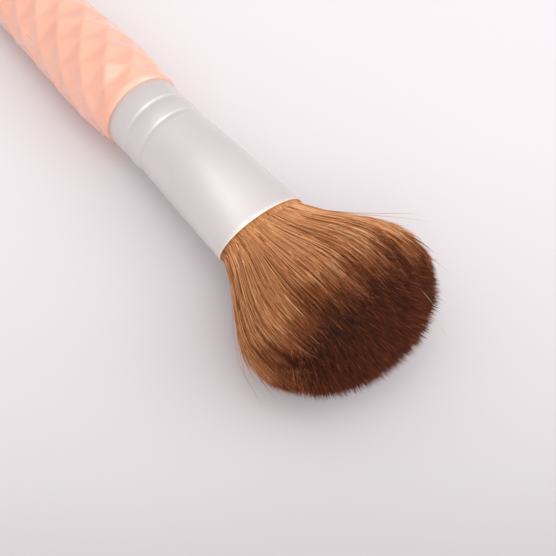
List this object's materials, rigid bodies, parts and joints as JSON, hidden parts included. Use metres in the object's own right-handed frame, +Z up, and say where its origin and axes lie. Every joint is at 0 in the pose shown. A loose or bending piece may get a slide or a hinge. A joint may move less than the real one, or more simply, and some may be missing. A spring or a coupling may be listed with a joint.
{
  "type": "blush brush",
  "caption": "Blush brush lying at rest: a handle cut in diamond facets, a round ferrule pressed flat towards its mouth, and a fan of soft two-tone hair.",
  "frame": {"origin": "on the table, midway along the brush, under its middle", "axes": "+X along the brush towards the hair, +Z up from the table it lies on, Y across it"},
  "size_m": [0.1847, 0.0386, 0.0248],
  "materials": {
    "handle": "peach-pink moulded plastic, satin with soft highlights on its facets",
    "ferrule": "satin drawn aluminium",
    "glue": "set amber resin, out of sight inside the ferrule",
    "hair": "soft fine hair, tan for most of its length with dark chestnut tips"
  },
  "bodies": {
    "root": {"handle": "handle", "ferrule": "ferrule", "glue_plug": "glue", "hair_tuft": "hair"}
  },
  "joints": []
}
